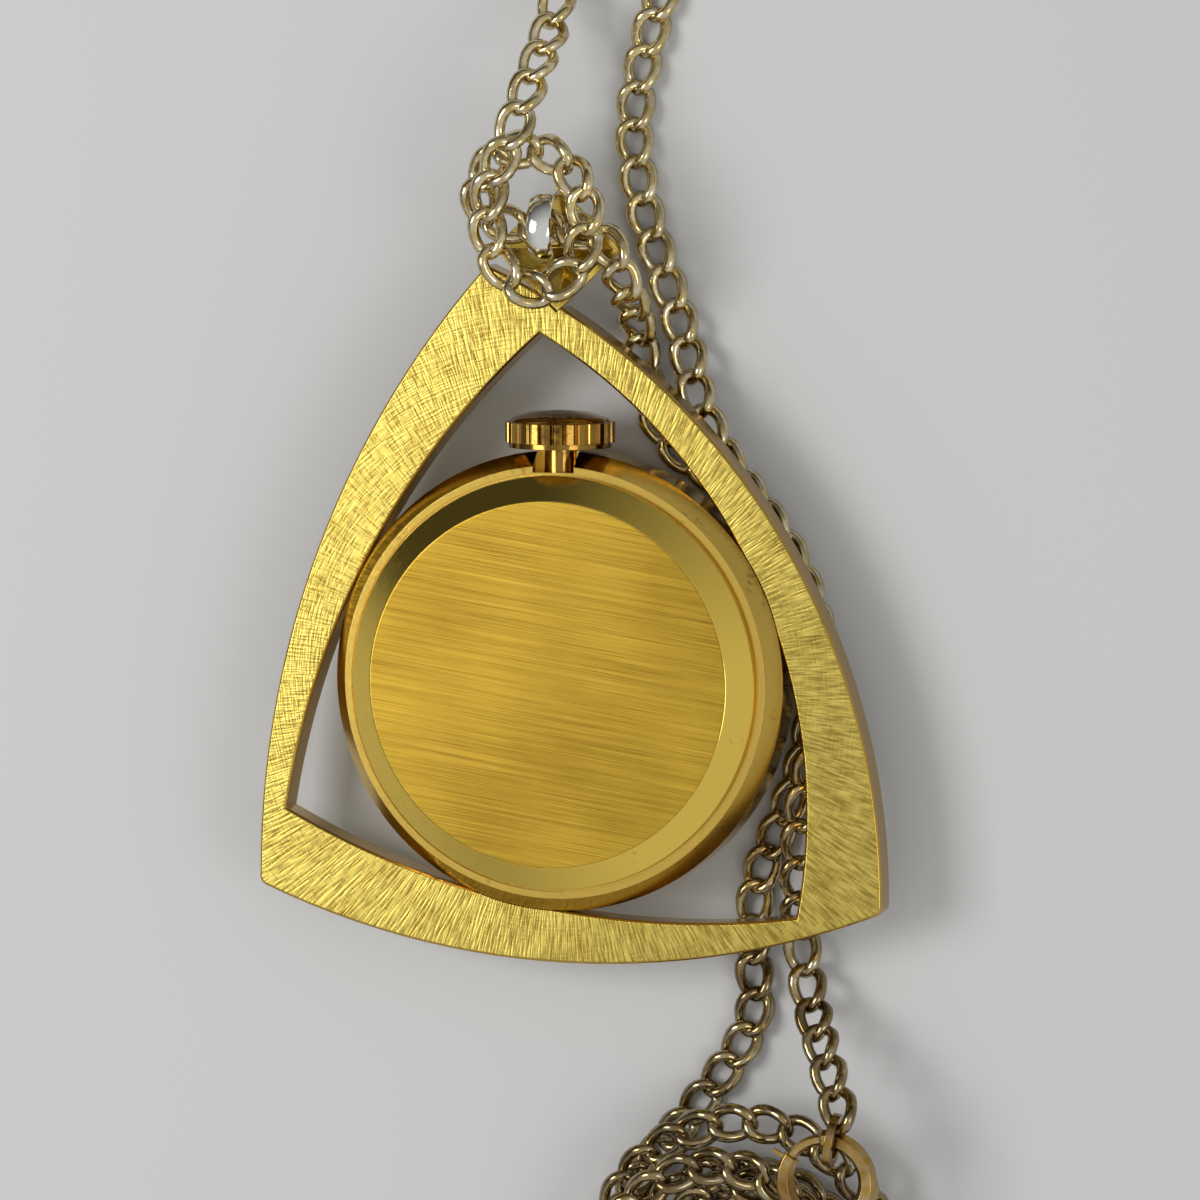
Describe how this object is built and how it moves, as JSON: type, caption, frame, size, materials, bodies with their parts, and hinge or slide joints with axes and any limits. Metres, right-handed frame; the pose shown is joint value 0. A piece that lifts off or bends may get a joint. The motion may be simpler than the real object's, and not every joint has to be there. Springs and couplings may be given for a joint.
{
  "type": "pendant watch",
  "caption": "Pendant watch with a round case in an open curved-triangle frame, a fluted crown, a pyramid cap with a bail loop and a curb chain.",
  "frame": {"origin": "centre of the crystal's flat outer face, on the case's axis", "axes": "+Z out of the case back, the part's thinnest way; +Y towards the crown and the bail, its longest way; +X to the right as the back is looked at"},
  "size_m": [0.0377, 0.0899, 0.0087],
  "materials": {
    "gold": "gold-tone plate, finely brushed and polished",
    "silver": "polished white metal",
    "chain": "aged gold-tone plate",
    "steel": "polished steel",
    "plate": "nickel-plated",
    "wheel": "gilt",
    "crystal": "clear",
    "dial": "matt cream",
    "hands": "gloss black"
  },
  "bodies": {
    "watch": {"bail_cap": "gold", "bail_loop": "silver", "balance_cock": "plate", "barrel_bridge": "plate", "case_back": "gold", "case_body": "gold", "case_tube": "gold", "casing_ring": "plate", "chain_lower_strand": "chain", "chain_pile": "chain", "chain_upper_strand": "chain", "chain_winding": "chain", "clasp_link": "chain", "clasp_ring": "chain", "clasp_spring": "steel", "click_spring": "steel", "crystal": "crystal", "dial": "dial", "end_ring": "chain", "front_bezel": "gold", "hairspring": "steel", "hour_markers": "hands", "main_plate": "plate", "pallet_cock": "plate", "pendant_frame": "gold", "train_bridge": "plate"},
    "winding": {"winding_pinion": "steel"},
    "crown_and_stem": {"crown": "gold", "winding_stem": "steel"},
    "clutch": {"clutch_wheel": "steel"},
    "crown_wheel_body": {"crown_wheel": "steel"},
    "ratchet": {"ratchet_wheel": "steel", "barrel_arbor": "steel"},
    "barrel": {"barrel_drum": "wheel", "barrel_cover": "wheel", "mainspring": "steel"},
    "centre": {"centre_wheel": "wheel", "cannon_pinion": "steel", "minute_hand": "hands"},
    "third": {"third_wheel": "wheel"},
    "fourth": {"fourth_wheel": "wheel"},
    "escape": {"escape_wheel": "steel"},
    "pallets": {"pallet_fork": "steel"},
    "balance": {"balance_wheel": "wheel"},
    "minute_work": {"minute_wheel": "wheel"},
    "hour_work": {"hour_wheel": "wheel", "hour_hand": "hands"},
    "setting": {"setting_wheel": "wheel"},
    "click_body": {"click": "steel"},
    "regulator_index": {"regulator": "steel"},
    "setting_lever_body": {"setting_lever": "steel"},
    "yoke_body": {"yoke": "steel"},
    "trigger": {"clasp_trigger": "chain"}
  },
  "joints": [
    {"name": "crown_turn", "type": "hinge", "parent": "watch", "child": "winding", "pos_m": [0, 0.00657, 0.005], "axis": [0, 1, 0], "continuous": true},
    {"name": "crown_pull", "type": "slide", "parent": "winding", "child": "crown_and_stem", "axis": [0, 1, 0], "range_m": [0, 0.0008]},
    {"name": "clutch_shift", "type": "slide", "parent": "winding", "child": "clutch", "axis": [0, 1, 0], "range_m": [-0.0005, 0]},
    {"name": "crown_wheel_turn", "type": "hinge", "parent": "watch", "child": "crown_wheel_body", "pos_m": [0, 0.00427, 0.00635], "axis": [0, 0, 1], "continuous": true},
    {"name": "ratchet_turn", "type": "hinge", "parent": "watch", "child": "ratchet", "pos_m": [0.00424, 0.00154, 0.00635], "axis": [0, 0, 1], "continuous": true},
    {"name": "time_turn", "type": "hinge", "parent": "watch", "child": "centre", "pos_m": [0, 0, 0.004], "axis": [0, 0, 1], "continuous": true},
    {"name": "barrel_turn", "type": "hinge", "parent": "watch", "child": "barrel", "pos_m": [0.00424, 0.00154, 0.004], "axis": [0, 0, 1], "continuous": true},
    {"name": "third_turn", "type": "hinge", "parent": "watch", "child": "third", "pos_m": [-0.00176, -0.00251, 0.004], "axis": [0, 0, 1], "continuous": true},
    {"name": "fourth_turn", "type": "hinge", "parent": "watch", "child": "fourth", "pos_m": [-0.00082, -0.00506, 0.004], "axis": [0, 0, 1], "continuous": true},
    {"name": "escape_turn", "type": "hinge", "parent": "watch", "child": "escape", "pos_m": [0.00149, -0.00506, 0.004], "axis": [0, 0, 1], "continuous": true},
    {"name": "pallet_swing", "type": "hinge", "parent": "watch", "child": "pallets", "pos_m": [0.0031, -0.00518, 0.004], "axis": [0, 0, 1], "range_deg": [-5, 5]},
    {"name": "balance_swing", "type": "hinge", "parent": "watch", "child": "balance", "pos_m": [0.0046, -0.00528, 0.004], "axis": [0, 0, 1], "range_deg": [-270, 270], "deforming": ["hairspring"]},
    {"name": "minute_wheel_turn", "type": "hinge", "parent": "watch", "child": "minute_work", "pos_m": [-0.00122, 0.00261, 0.00365], "axis": [0, 0, 1], "continuous": true},
    {"name": "hour_turn", "type": "hinge", "parent": "watch", "child": "hour_work", "pos_m": [0, 0, 0.00365], "axis": [0, 0, 1], "continuous": true},
    {"name": "setting_turn", "type": "hinge", "parent": "watch", "child": "setting", "pos_m": [0.00117, 0.00462, 0.00365], "axis": [0, 0, 1], "continuous": true},
    {"name": "click_swing", "type": "hinge", "parent": "watch", "child": "click_body", "pos_m": [0.00804, 0.00332, 0.00635], "axis": [0, 0, 1], "range_deg": [-12, 0], "stiffness_Nm_per_rad": 0.0002},
    {"name": "regulator_turn", "type": "hinge", "parent": "watch", "child": "regulator_index", "pos_m": [0.0046, -0.00528, 0.0063], "axis": [0, 0, 1], "range_deg": [-25, 25]},
    {"name": "setting_lever_swing", "type": "hinge", "parent": "watch", "child": "setting_lever_body", "pos_m": [-0.0022, 0.0079, 0.005], "axis": [0, 0, 1], "range_deg": [0, 25.47]},
    {"name": "yoke_swing", "type": "hinge", "parent": "watch", "child": "yoke_body", "pos_m": [-0.0034, 0.00495, 0.005], "axis": [0, 0, 1], "range_deg": [-10.2, 0]},
    {"name": "trigger_slide", "type": "hinge", "parent": "watch", "child": "trigger", "pos_m": [0.01588, -0.02763, 0.0068], "axis": [0, 0, 1], "range_deg": [0, 45], "stiffness_Nm_per_rad": 0.0005, "deforming": ["clasp_spring"]}
  ],
  "couplings": [
    {"joint": "clutch_shift", "follows": "crown_pull", "ratio": -0.625},
    {"joint": "setting_lever_swing", "follows": "crown_pull", "rad_per_m": 555.64},
    {"joint": "yoke_swing", "follows": "crown_pull", "rad_per_m": -222.62},
    {"joint": "crown_wheel_turn", "follows": "crown_turn", "ratio": -0.71429},
    {"joint": "ratchet_turn", "follows": "crown_turn", "ratio": 0.45455},
    {"joint": "third_turn", "follows": "time_turn", "ratio": -8},
    {"joint": "fourth_turn", "follows": "time_turn", "ratio": 60},
    {"joint": "escape_turn", "follows": "time_turn", "ratio": -600},
    {"joint": "barrel_turn", "follows": "time_turn", "ratio": -0.13889},
    {"joint": "minute_wheel_turn", "follows": "time_turn", "ratio": -0.33333},
    {"joint": "hour_turn", "follows": "time_turn", "ratio": 0.083333},
    {"joint": "setting_turn", "follows": "time_turn", "ratio": 0.75}
  ]
}
